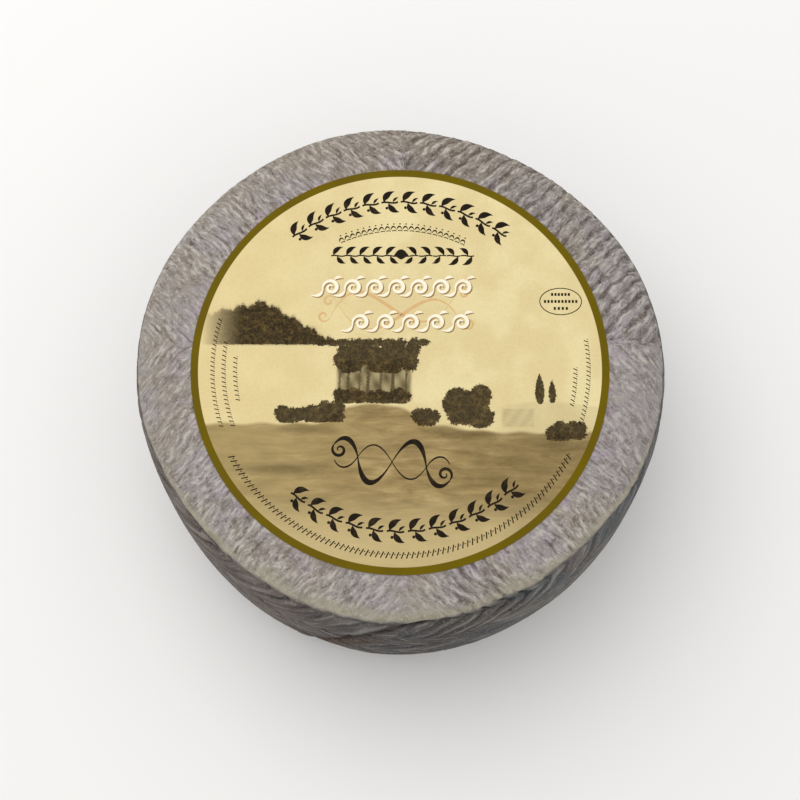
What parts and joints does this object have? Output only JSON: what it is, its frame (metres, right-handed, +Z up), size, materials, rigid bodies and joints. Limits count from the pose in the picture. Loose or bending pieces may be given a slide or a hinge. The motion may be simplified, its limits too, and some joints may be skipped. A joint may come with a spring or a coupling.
{
  "type": "cheese wheel",
  "caption": "Squat round wheel of cured sheep's-milk cheese with a plait-pressed grey rind and a round printed paper label on its top face.",
  "frame": {"origin": "centre of the flat base, on the surface that the wheel stands on", "axes": "+Z up along the wheel's axis, through the middle of the label; the label's upper edge is towards +Y"},
  "size_m": [0.21, 0.21, 0.0942],
  "materials": {
    "rind": "matte",
    "label_paper": "satin"
  },
  "bodies": {
    "root": {"cheese_wheel": "rind", "paper_label": "label_paper"}
  },
  "joints": []
}
